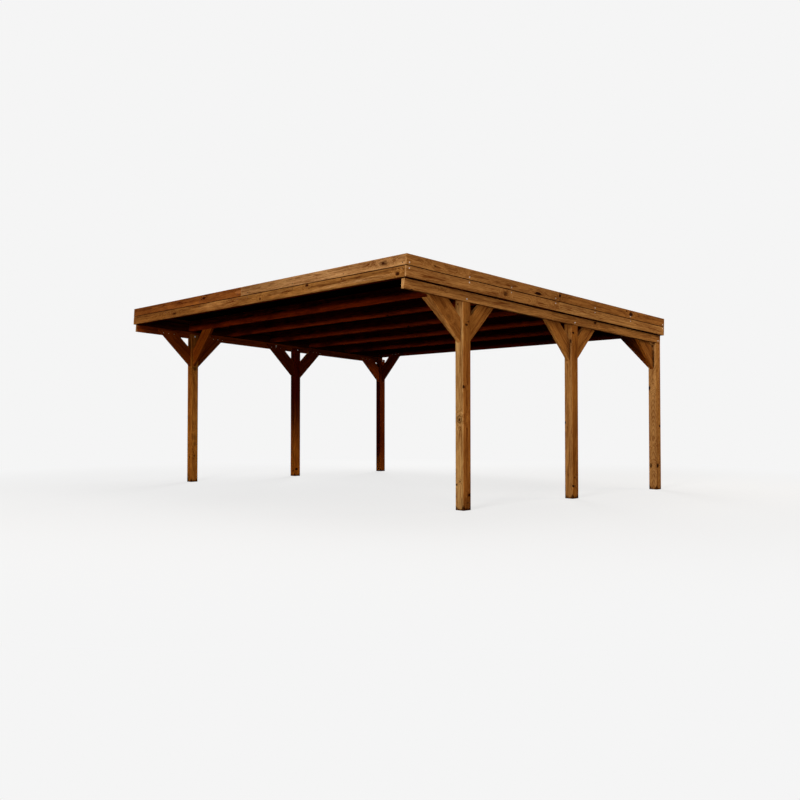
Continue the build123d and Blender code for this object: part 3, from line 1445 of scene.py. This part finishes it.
@dataclass(frozen=True)
class WallPlates:
    """The plates along both sides, bolted to the post tongues."""

    outer: float = 3.007
    thickness: float = 0.045
    height: float = 0.115
    tongue: float = 0.075
    brace: float = 0.045
    bolt_up: float = 0.028
    joint_bolt: tuple[float, float] = (2.585, -0.267)
    joint_nut_up: float = 0.055
    seeds: tuple[float, float, float] = (40.7, 5.9, 17.0)
    bolt: BoltHead = BoltHead()
    nut: NutOnWasher = NutOnWasher()
    # Painted shade on the inner and lower faces of the left plates
    shelter: Shelter = Shelter((0.7, 0, -0.7), (0.62, 0.26, 0.11))
    right_stains: ClassVar[dict[str, Stain]] = {"front": Stain(169, 0.19), "rear": Stain(163, 0.17)}
    # Knots of the right plates: distance along the fall, height, then the values of a KnotPlace
    right_knots: ClassVar[dict[str, Rows]] = {
        "front": ((0.573, -0.270, 0.014, 1.8, 0.25),),
        "rear": ((3.476, -0.273, 0.017, 1.8, 1.0),),
    }

    @property
    def low(self) -> float:
        """Height of the underside on the roof plane."""
        return -PLANE.fascia_height - self.height

    def member(self, side: Side, end: str, seed: float) -> Member:
        """The timber of one plate length.

        Args:
            side: The side that it is on.
            end: The front or the rear length.
            seed: Seed of its grain.

        Returns:
            The length of timber.
        """
        right = side is Side.RIGHT
        knots = places(self.right_knots[end], lambda along, up: PLANE.at(self.outer, along, up))
        return Member(
            f"plate_{side.word}_{end}",
            run=PLANE.down,
            wide=PLANE.up,
            half=(self.height / 2, self.thickness / 2),
            seed=seed,
            first=self.right_stains[end] if right else Stain(150, 0.12),
            pith=(0.014, -0.048 * side.value),
            stray=0.04,
            # A line of painted shade along the top edge, where the fascia's shadow falls
            groove=self.height / 2,
            groove_half=0.012,
            shelters=() if right else (self.shelter,),
            knots=knots if right else (),
        )

    def build(self) -> None:
        """Dress the plates, then bolt them up."""
        start, by_end, by_side = self.seeds
        for side in Side:
            for number, end in enumerate(("front", "rear")):
                seed = start + by_end * number + by_side * side.value
                TIMBERS[side].dress(self.member(side, end, seed))
            self.bolts(side)
        LOG.info("wall plates: four lengths stained")

    def bolts(self, side: Side) -> None:
        """Add a bolt at each post, and on the left one beside the plate joint.

        Args:
            side: The side that they are on.
        """
        kit = FixingSet(f"plate_bolts_{side.word}", WEATHERED_STEEL)
        inner = self.outer - self.thickness
        height = self.low + self.bolt_up
        alongs = [PLANE.along_of(row.value, height) for row in Row]
        spots = [(along, height, inner - self.tongue, height) for along in alongs]
        if side is Side.LEFT:
            spots.append((*self.joint_bolt, inner - self.brace, self.low + self.joint_nut_up))
        out = Vector((side.value, 0, 0))
        for along, head_up, nut_x, nut_up in spots:
            kit.add(PLANE.at(out.x * self.outer, along, head_up), out, self.bolt.shape())
            kit.add(PLANE.at(out.x * nut_x, along, nut_up), -out, *self.nut.shapes())
        kit.finish()


@dataclass(frozen=True)
class Rafters:
    """Seven rafters on edge across the plates."""

    count: int = 7
    thickness: float = 0.045
    height: float = 0.170
    middle: float = -0.155
    seeds: tuple[float, float] = (71.3, 6.1)
    # The rafters' stain, deep red, much darker than the other members and darkest at the rear, is
    # painted shade under the roof; so are the darker knots of their timber
    level: int = 100
    timber: StainedTimber = StainedTimber(knot=linear(30, 8, 3), specular=0.0)
    levels: ClassVar[dict[int, int]] = {2: 97, 6: 88, 7: 58}
    # Knots on the front faces by rafter: x, height, then the values of a KnotPlace
    knots: ClassVar[dict[int, Rows]] = {
        3: ((0.947, -0.228, 0.013, 1.5),),
        4: ((0.460, -0.232, 0.014, 1.5),),
    }

    def member(self, number: int) -> Member:
        """The timber of one rafter.

        Args:
            number: Its number from the front.

        Returns:
            The length of timber.
        """
        node = f"rafter_{number}"
        low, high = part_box(node)
        front = PLANE.along_of((low.y + high.y) / 2, self.middle) - self.thickness / 2
        return Member(
            node,
            run=Vector(ALONG_X),
            wide=PLANE.up,
            half=(self.height / 2, self.thickness / 2),
            seed=self.seeds[0] + self.seeds[1] * number,
            first=Stain(self.levels.get(number, self.level), 0.66),
            pith=(0.02, 0.055),
            stray=0.12,
            knots=places(self.knots.get(number, ()), lambda x, up: PLANE.at(x, front, up)),
        )

    def build(self) -> None:
        """Dress the rafters."""
        for number in range(1, self.count + 1):
            self.timber.dress(self.member(number))
        LOG.info("rafters: %d stained", self.count)


@dataclass(frozen=True)
class KneeBraces:
    """Knee braces in line with the plates and across the bay."""

    width: float = 0.195
    thickness: float = 0.045
    inner: float = 2.917
    screw_height: float = -0.326
    across_height: float = -0.21
    toe: float = 0.085
    seeds: tuple[float, float] = (131.0, 3.9)
    screw: ScrewHead = ScrewHead(0.0055)
    rear_across_x: tuple[float, ...] = (2.584, 2.503, 2.414)
    # Screws of the braces in line with the plates, by their distance along the fall
    in_line: ClassVar[dict[tuple[Row, Way], tuple[float, ...]]] = {
        (Row.FRONT, Way.FORWARD): (0.442, 0.532, 0.626),
        (Row.FRONT, Way.BACK): (1.340, 1.420, 1.505),
        (Row.MIDDLE, Way.FORWARD): (2.492, 2.587, 2.681),
        (Row.MIDDLE, Way.BACK): (3.398, 3.476, 3.556),
        (Row.REAR, Way.FORWARD): (4.590, 4.672, 4.756),
    }
    across: ClassVar[tuple[tuple[Row, Way], ...]] = (
        (Row.FRONT, Way.ACROSS),
        (Row.REAR, Way.ACROSS),
    )
    # Painted shade on the inner and lower faces of the left braces, by brace
    left_factors: ClassVar[dict[tuple[Row, Way], Colour]] = {
        (Row.FRONT, Way.FORWARD): (0.66, 0.30, 0.11),
        (Row.FRONT, Way.BACK): (0.60, 0.26, 0.10),
        (Row.FRONT, Way.ACROSS): (0.78, 0.42, 0.17),
        (Row.MIDDLE, Way.FORWARD): (0.36, 0.11, 0.05),
        (Row.MIDDLE, Way.BACK): (0.46, 0.15, 0.06),
        (Row.REAR, Way.FORWARD): (0.95, 0.36, 0.10),
        (Row.REAR, Way.ACROSS): (0.33, 0.10, 0.05),
    }
    # Painted shade on the outer face of the right braces; on their front lower edges, painted light at
    # the front and middle rows and painted shade at the rear
    right_face: ClassVar[Colour] = (1.0, 0.86, 0.66)
    right_edges: ClassVar[dict[Row, Colour]] = {
        Row.FRONT: (1.66, 1.72, 1.75),
        Row.MIDDLE: (1.36, 1.32, 1.15),
        Row.REAR: (1.02, 0.68, 0.32),
    }
    # Shade on the rear right brace across the bay, deep near its head
    rear_shade: ClassVar[tuple] = ((0.80, 0.62, 0.45), (0.08, 0.05, 0.04), 0.0, 0.48)
    right_knots: ClassVar[dict[tuple[Row, Way], tuple[KnotPlace, ...]]] = {
        (Row.FRONT, Way.FORWARD): (KnotPlace((2.962, -1.847, 2.122), 0.030, 1.2, 0.2, 1.4),),
    }

    def slope(self, side: Side, way: Way) -> Vector:
        """Direction that a brace rises from its post."""
        x, y, z = way.value
        return Vector((x * side.value, y, z)).normalized()

    def node(self, row: Row, side: Side, way: Way) -> str:
        """Name of a brace's node."""
        return f"brace_{row.word}_{side.word}_{way.word}"

    def foot(self, node: str, slope: Vector) -> Vector:
        """Middle of the lower edge of a brace, where it meets the post.

        Args:
            node: The brace's node.
            slope: Direction that it rises.

        Returns:
            The place.
        """
        low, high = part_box(node)
        ahead = Vector((slope.x, slope.y, 0)).normalized()
        middle, half = (low + high) / 2, (high - low) / 2
        return Vector((middle.x - ahead.x * half.x, middle.y - ahead.y * half.y, low.z))

    def shelters(self, row: Row, side: Side, way: Way) -> tuple[Shelter, ...]:
        """The painted shade and light on the faces of a brace.

        Args:
            row: The row of its post.
            side: The side of its post.
            way: The way that it rises.

        Returns:
            The painted shades.
        """
        if side is Side.LEFT:
            return (Shelter((0.6, -0.6, -0.5), self.left_factors[row, way]),)
        shelters = (
            Shelter((1, 0, 0), self.right_face),
            Shelter((0, -0.6, -0.6), self.right_edges[row]),
        )
        if (row, way) == (Row.REAR, Way.ACROSS):
            faces = ((0, -1, 0), (-0.6, 0, -0.6))
            shelters += tuple(Shelter(face, *self.rear_shade) for face in faces)
        return shelters

    def member(self, row: Row, side: Side, way: Way, seed: float) -> Member:
        """The timber of one brace, its grain along the slope.

        Args:
            row: The row of its post.
            side: The side of its post.
            way: The way that it rises.
            seed: Seed of its grain.

        Returns:
            The length of timber, centred between its long edges.
        """
        node = self.node(row, side, way)
        slope = self.slope(side, way)
        wide = slope.cross(Vector((0, 1, 0)) if way is Way.ACROSS else Vector(ALONG_X))
        middle = sum(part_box(node), Vector()) / 2
        upright = Vector((-slope.x, -slope.y, slope.z))
        line = self.foot(node, slope) + upright * self.width / 2
        right = side is Side.RIGHT
        return Member(
            node,
            run=slope,
            wide=wide,
            half=(self.width / 2, self.thickness / 2),
            seed=seed,
            first=Stain(156 if right else 150, 0.12),
            pith=(0.02, -0.05 * side.value),
            stray=0.10,
            centre=middle + wide * (line - middle).dot(wide),
            shelters=self.shelters(row, side, way),
            knots=self.right_knots.get((row, way), ()) if right else (),
        )

    def build(self) -> None:
        """Dress the braces, then screw them up."""
        seed, step = self.seeds
        for side in Side:
            for row, way in (*self.in_line, *self.across):
                seed += step
                TIMBERS[side].dress(self.member(row, side, way, seed))
            self.screws(side)
        LOG.info("knee braces: fourteen stained")

    def screws(self, side: Side) -> None:
        """Add the screws of the braces on one side.

        Args:
            side: The side that they are on.
        """
        kit = FixingSet(f"brace_screws_{side.word}", BrightSteel(), DULLED_STEEL)
        head = self.screw.shape()
        inward = Vector((-side.value, 0, 0))
        for (row, way), alongs in self.in_line.items():
            for along in alongs:
                kit.add(PLANE.at(side.value * self.inner, along, self.screw_height), inward, head)
            self.toe_screw(kit, row, side, way)
        low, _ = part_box(self.node(Row.REAR, side, Way.ACROSS))
        for x in self.rear_across_x:
            along = PLANE.along_of(low.y, self.across_height)
            spot = PLANE.at(side.value * x, along, self.across_height)
            kit.add(Vector((spot.x, low.y, spot.z)), Vector((0, -1, 0)), head)
        for row, way in self.across:
            self.toe_screw(kit, row, side, way)
        kit.finish()

    def toe_screw(self, kit: FixingSet, row: Row, side: Side, way: Way) -> None:
        """Add the screw that goes in through the lower edge of a brace into its post.

        Args:
            kit: The set of screws.
            row: The row of the post.
            side: The side of the post.
            way: The way that the brace rises.
        """
        slope = self.slope(side, way)
        spot = self.foot(self.node(row, side, way), slope) + slope * self.toe
        kit.add(spot, Vector((slope.x, slope.y, -slope.z)), (self.screw.shape(), 1))


@dataclass(frozen=True)
class Fascia:
    """Two courses of boards round the roof, screwed to the rafter ends."""

    half_width: float = 3.050
    thickness: float = 0.020
    board: float = 0.1175
    seam: float = 0.005
    above_sheets: float = 0.052
    screw_heights: tuple[float, float] = (-0.089, -0.149)
    side_joint: float = 2.619
    seeds: tuple[float, float] = (201.0, 7.7)
    end_columns: tuple[float, ...] = (-3.003, -2.040, -1.078, -0.117, 0.115, 1.082, 2.035, 2.991)
    rafter_lines: tuple[float, ...] = (0.0425, 0.968, 1.698, 2.553, 3.408, 4.263, 5.1175)
    screw: ScrewHead = ScrewHead()
    front_screw: ScrewHead = ScrewHead(0.0074)
    # Painted shade on the inner faces of the boards
    inner_factor: Colour = (0.16, 0.06, 0.03)
    rosy: Shelter = Shelter((0, -1, 0), (1.00, 0.96, 1.09))
    front_joints: ClassVar[dict[Course, float]] = {Course.UPPER: -0.041, Course.LOWER: -0.065}
    # Stains of the first and the second board of a course
    plain: ClassVar[tuple[Stain, Stain]] = (Stain(144, 0.12), Stain(152, 0.12))
    stains: ClassVar[dict[tuple[Face, Course], tuple[Stain, Stain]]] = {
        (Face.FRONT, Course.UPPER): (Stain(124, 0.22), Stain(152, -0.04)),
        (Face.FRONT, Course.LOWER): (Stain(139, 0.14), Stain(133, 0.04)),
        (Face.RIGHT, Course.UPPER): (Stain(162, 0.18), Stain(149, 0.18)),
        (Face.RIGHT, Course.LOWER): (Stain(167, 0.18), Stain(173, 0.15)),
    }
    # Knots by course: x or distance along the fall, height, then the values of a KnotPlace
    knots: ClassVar[dict[tuple[Face, Course], Rows]] = {
        (Face.FRONT, Course.UPPER): (
            (0.450, -0.060, 0.085, 7.0, 0.13, 0.0),
            (2.700, -0.059, 0.024, 3.0, 0.62, 1.4),
            (2.690, -0.058, 0.013, 2.2, 1.0, 0.0),
            (-0.962, -0.048, 0.013, 3.2, 1.0, 1.2),
            (-1.030, -0.058, 0.010, 1.6, 0.7, 0.8),
        ),
        (Face.FRONT, Course.LOWER): (
            (2.921, -0.200, 0.021, 1.5, 0.95, 1.6),
            (1.720, -0.171, 0.013, 24.0, 0.30, 0.0),
            (2.270, -0.161, 0.013, 24.0, 0.34, 0.0),
            (2.700, -0.148, 0.012, 18.0, 0.34, 0.0),
            (1.366, -0.142, 0.015, 2.2, 1.0, 1.8),
            (1.412, -0.181, 0.008, 1.3, 0.8, 0.6),
            (0.405, -0.201, 0.020, 1.4, 0.7, 1.4),
            (-1.550, -0.180, 0.070, 7.0, 0.25, 0.0),
            (-1.767, -0.189, 0.016, 4.0, 0.9, 1.4),
            (-2.127, -0.161, 0.010, 1.6, 0.7, 0.8),
        ),
        (Face.RIGHT, Course.UPPER): (
            (0.420, -0.062, 0.010, 1.8, 0.8, 0.8),
            (0.480, -0.055, 0.075, 1.0, 0.0, 0.8),
            (0.660, -0.050, 0.060, 1.3, 0.0, 1.3),
            (0.800, -0.060, 0.040, 1.3, 0.0, 1.3),
            (2.200, -0.085, 0.018, 3.6, 1.8, 0.9),
            (2.638, -0.043, 0.019, 1.1, 1.7, 0.9),
            (4.272, -0.055, 0.028, 1.8, 1.0, 1.2),
        ),
        (Face.RIGHT, Course.LOWER): (
            (1.590, -0.180, 0.026, 1.4, 0.6, 1.4),
            (2.300, -0.190, 0.050, 1.6, 0.0, 0.8),
        ),
    }
    # Pale streaks of sapwood by course, in the same form
    sapwood: ClassVar[dict[tuple[Face, Course], Rows]] = {
        (Face.FRONT, Course.UPPER): (
            (-0.103, -0.058, 0.030, 2.6, 0.7, 0.0),
            (1.450, -0.060, 0.070, 9.0, 0.16, 0.0),
        ),
        (Face.FRONT, Course.LOWER): (
            (1.600, -0.213, 0.015, 18.0, 0.45, 0.0),
            (2.080, -0.201, 0.021, 18.0, 0.8, 0.0),
            (2.560, -0.197, 0.022, 15.0, 0.8, 0.0),
            (-0.600, -0.176, 0.050, 10.0, 0.55, 0.0),
            (0.750, -0.165, 0.022, 9.0, 0.4, 0.0),
        ),
    }

    def spot(self, face: Face, place: float, height: float) -> Vector:
        """Find a place on a face of the fascia.

        Args:
            face: The face of the roof.
            place: Its x, or its distance along the fall.
            height: Its height on the roof plane.

        Returns:
            The world place.
        """
        x, y, _ = face.value
        if x:
            return PLANE.at(x * self.half_width, place, height)
        return PLANE.at(place, PLANE.length if y > 0 else 0.0, height)

    def joint(self, face: Face, course: Course, middle: Vector) -> float:
        """Place of the butt of two boards, along their run from the middle of the course.

        Args:
            face: The face of the roof.
            course: The course of boards.
            middle: Middle of the course.

        Returns:
            The distance.
        """
        if face is Face.FRONT:
            return self.front_joints[course] - middle.x
        if face is Face.REAR:
            return 0.0
        return (PLANE.at(middle.x, self.side_joint, -self.board) - middle).dot(PLANE.down)

    def member(self, face: Face, course: Course, seed: float) -> Member:
        """The timber of one course of boards on one face.

        Args:
            face: The face of the roof.
            course: The course of boards.
            seed: Seed of its grain.

        Returns:
            The length of timber.
        """
        node = f"fascia_{face.word}_{course.word}"
        key = (face, course)
        half = self.board / 2 + (self.seam / 2 if course is Course.LOWER else 0.0)
        # The inner faces get painted shade, on the upper course only below the sheets
        below = half - self.above_sheets if course is Course.UPPER else BEYOND
        inward = tuple(-part for part in face.value)
        shelters = (Shelter(inward, self.inner_factor, below=below),)
        if key == (Face.FRONT, Course.UPPER):
            shelters += (self.rosy,)
        first, second = self.stains.get(key, self.plain)
        knots, sapwood = (
            places(table.get(key, ()), lambda place, up: self.spot(face, place, up))
            for table in (self.knots, self.sapwood)
        )
        return Member(
            node,
            run=PLANE.down if face in (Face.LEFT, Face.RIGHT) else Vector(ALONG_X),
            wide=PLANE.up,
            half=(half, self.thickness / 2),
            seed=seed,
            first=first,
            second=second,
            pith=(0.018 * math.sin(seed), 0.046 if face in (Face.FRONT, Face.LEFT) else -0.046),
            stray=0.15,
            joint=self.joint(face, course, sum(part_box(node), Vector()) / 2),
            spacing=0.0060,
            # A line of painted shade in the groove between the courses
            groove=course.value * half - self.seam / 2,
            shelters=shelters,
            sapwood=sapwood,
            knots=knots,
        )

    def build(self) -> None:
        """Dress the boards, then screw them on."""
        seed, step = self.seeds
        for face in Face:
            for course in Course:
                seed += step
                TIMBERS[Side.RIGHT].dress(self.member(face, course, seed))
            self.screws(face)
        LOG.info("fascia: eight courses stained")

    def screws(self, face: Face) -> None:
        """Add the screws of one face, one to a board at each rafter or column.

        Args:
            face: The face of the roof.
        """
        front = face is Face.FRONT
        kit = FixingSet(f"fascia_screws_{face.word}", DULLED_STEEL if front else BrightSteel())
        head = (self.front_screw if front else self.screw).shape()
        x, y, _ = face.value
        facing = Vector((x, 0, 0)) + PLANE.down * y
        for height in self.screw_heights:
            for place in self.rafter_lines if x else self.end_columns:
                kit.add(self.spot(face, place, height), facing, head)
        kit.finish()


@dataclass(frozen=True)
class RoofCovering:
    """Ribbed sheets down the fall, screwed to the rafters in the troughs."""

    sheets: int = 6
    ribs: int = 73
    cover: float = 6.044
    level: float = -0.0699
    sheet: float = 0.0008
    first: int = 2
    every: int = 4
    underside: float = -0.1
    rafter_lines: tuple[float, ...] = (0.062, 0.968, 1.698, 2.553, 3.408, 4.263, 5.090)
    screw: RoofScrew = RoofScrew()

    def build(self) -> None:
        """Dress the sheets, then screw them down."""
        for number in range(1, self.sheets + 1):
            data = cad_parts[f"roof_sheet_{number}"].data
            data.materials.clear()
            for finish in (CoatedSheet(), SheetBacking()):
                data.materials.append(finish.material())
            # Faces that look down get the painted shade of the underside
            for face in data.polygons:
                face.material_index = int(face.normal.dot(PLANE.up) < self.underside)
        kit = FixingSet("roof_screws", BrightSteel(), SealRubber())
        pitch = self.cover / self.ribs
        height = self.level + 2 * self.sheet
        for along in self.rafter_lines:
            for rib in range(self.first, self.ribs, self.every):
                spot = PLANE.at(-self.cover / 2 + rib * pitch, along, height)
                kit.add(spot, PLANE.up, *self.screw.shapes())
        kit.finish()
        LOG.info("roof covering: %d sheets coated", self.sheets)


@dataclass(frozen=True)
class Lamp:
    """A soft lamp aimed at the middle of the carport, square unless it is given a height.

    The strength is the share of full light that it gives there, where 1 shows a white
    surface that faces it as white.
    """

    name: str
    place: Point
    strength: float
    size: float = 3.0
    tall: float | None = None
    colour: Colour = UNCHANGED
    target: Point = (0.0, 0.0, 1.4)

    def hang(self) -> None:
        """Add the lamp to the scene."""
        data = bpy.data.lights.new(self.name, "AREA")
        data.size = self.size
        if self.tall is not None:
            data.shape = "RECTANGLE"
            data.size_y = self.tall
        data.color = self.colour
        lamp = bpy.data.objects.new(self.name, data)
        lamp.location = self.place
        aim = Vector(self.target) - Vector(self.place)
        data.energy = self.strength * math.pi**2 * aim.length_squared
        lamp.rotation_euler = aim.to_track_quat("-Z", "Y").to_euler()
        bpy.context.scene.collection.objects.link(lamp)


@dataclass(frozen=True)
class Studio:
    """Pale floor, soft light and the camera, a metre above the floor."""

    eye: Point = (9.2935, -8.5675, 1.0055)
    heading: float = 46.62
    tilt: float = 1.2988
    lens: float = 38.096
    sensor: float = 36.0
    clip_end: float = 200.0
    backdrop: Colour = linear(245, 245, 245)
    lit_floor: Colour = linear(232, 232, 232)
    bounced: Colour = (0.035, 0.025, 0.018)
    floor_reach: float = 60.0
    glow_reach: tuple[float, float] = (4.0, 9.0)
    glow_gain: float = 0.22
    glow_near: float = 0.78
    dome: float = 0.025
    lamps: tuple[Lamp, ...] = (
        Lamp("key", (5.69, -10.71, 8.4), 0.50),
        Lamp("side", (11.76, -6.79, 2.4), 0.19, tall=1.6, colour=(1.0, 0.84, 0.66)),
        Lamp("rear_right", (6.48, 5.44, 4.48), 0.24, colour=(1.0, 0.84, 0.64)),
        Lamp("low_left", (-2.95, -14.5, 2.3), 0.19, size=0.8, tall=0.8, colour=(1.0, 0.84, 0.66)),
        Lamp("low_front", (3.2, -11.95, 2.2), 0.07, tall=0.8, colour=(1.0, 0.80, 0.60)),
        Lamp("rear_left", (-9.0, 9.5, 6.0), 0.75, 5.0),
        Lamp("top", (-1.5, 1.5, 11.0), 0.45, 6.0),
    )

    def build(self) -> None:
        """Set up the view, the light and the floor."""
        bpy.context.scene.view_settings.view_transform = "Standard"
        self.camera()
        for lamp in self.lamps:
            lamp.hang()
        self.sky()
        self.floor()
        LOG.info("studio: camera, %d lamps, sky and floor", len(self.lamps))

    def camera(self) -> None:
        """Add the camera."""
        data = bpy.data.cameras.new("camera")
        data.sensor_width = self.sensor
        data.lens = self.lens
        data.clip_end = self.clip_end
        eye = bpy.data.objects.new("camera", data)
        eye.location = self.eye
        eye.rotation_euler = Euler((math.radians(90 + self.tilt), 0, math.radians(self.heading)))
        bpy.context.scene.collection.objects.link(eye)
        bpy.context.scene.camera = eye

    def seen(self, graph: Graph) -> Wire:
        """Share of rays that should meet the pale backdrop: seen, mirrored or passed on."""
        path = graph.wire("ShaderNodeLightPath", "Is Camera Ray")
        return path.larger(path.other("Is Glossy Ray")).larger(path.other("Is Transmission Ray"))

    def sky(self) -> None:
        """Light the scene from all round, and show the pale backdrop."""
        world = bpy.data.worlds.new("studio")
        world.use_nodes = True
        bpy.context.scene.world = world
        nodes = world.node_tree.nodes
        graph = Graph(world.node_tree)
        nodes["Background"].inputs[0].default_value = (1, 1, 1, 1)
        nodes["Background"].inputs[1].default_value = self.dome
        light = Wire(graph, nodes["Background"].outputs[0])
        shown = graph.wire("ShaderNodeBackground", 0, {0: self.backdrop, 1: 1.0})
        both = graph.wire("ShaderNodeMixShader", 0, {0: self.seen(graph), 1: light, 2: shown})
        graph.put(nodes["World Output"].inputs[0], both)

    def floor(self) -> None:
        """Add the floor: pale where it is seen, with a light shadow, and dark to bounced light."""
        data = bpy.data.meshes.new("floor")
        mesh = bmesh.new()
        bmesh.ops.create_grid(mesh, x_segments=4, y_segments=4, size=self.floor_reach)
        mesh.to_mesh(data)
        mesh.free()
        floor = bpy.data.objects.new("floor", data)
        bpy.context.scene.collection.objects.link(floor)
        graph = SurfaceGraph("pale_floor")
        graph.tree.nodes.remove(graph.tree.nodes["Principled BSDF"])
        near = graph.world.length().band(*self.glow_reach) * self.glow_gain + self.glow_near
        glow = graph.wire("ShaderNodeEmission", 0, {0: self.backdrop, 1: 1.0})
        lit = graph.wire("ShaderNodeBsdfDiffuse", 0, {0: self.lit_floor})
        pale = graph.wire("ShaderNodeMixShader", 0, {0: near, 1: lit, 2: glow})
        bounce = graph.wire("ShaderNodeBsdfDiffuse", 0, {0: self.bounced})
        both = graph.wire("ShaderNodeMixShader", 0, {0: self.seen(graph), 1: bounce, 2: pale})
        graph.put(graph.tree.nodes["Material Output"].inputs[0], both)
        data.materials.append(graph.material)


def main() -> None:
    """Build every sub-assembly in order and report each."""
    logging.basicConfig(level=logging.INFO, format="%(message)s")
    for part in (Posts(), WallPlates(), Rafters(), KneeBraces(), Fascia(), RoofCovering(), Studio()):
        part.build()


if __name__ == "__main__":
    main()
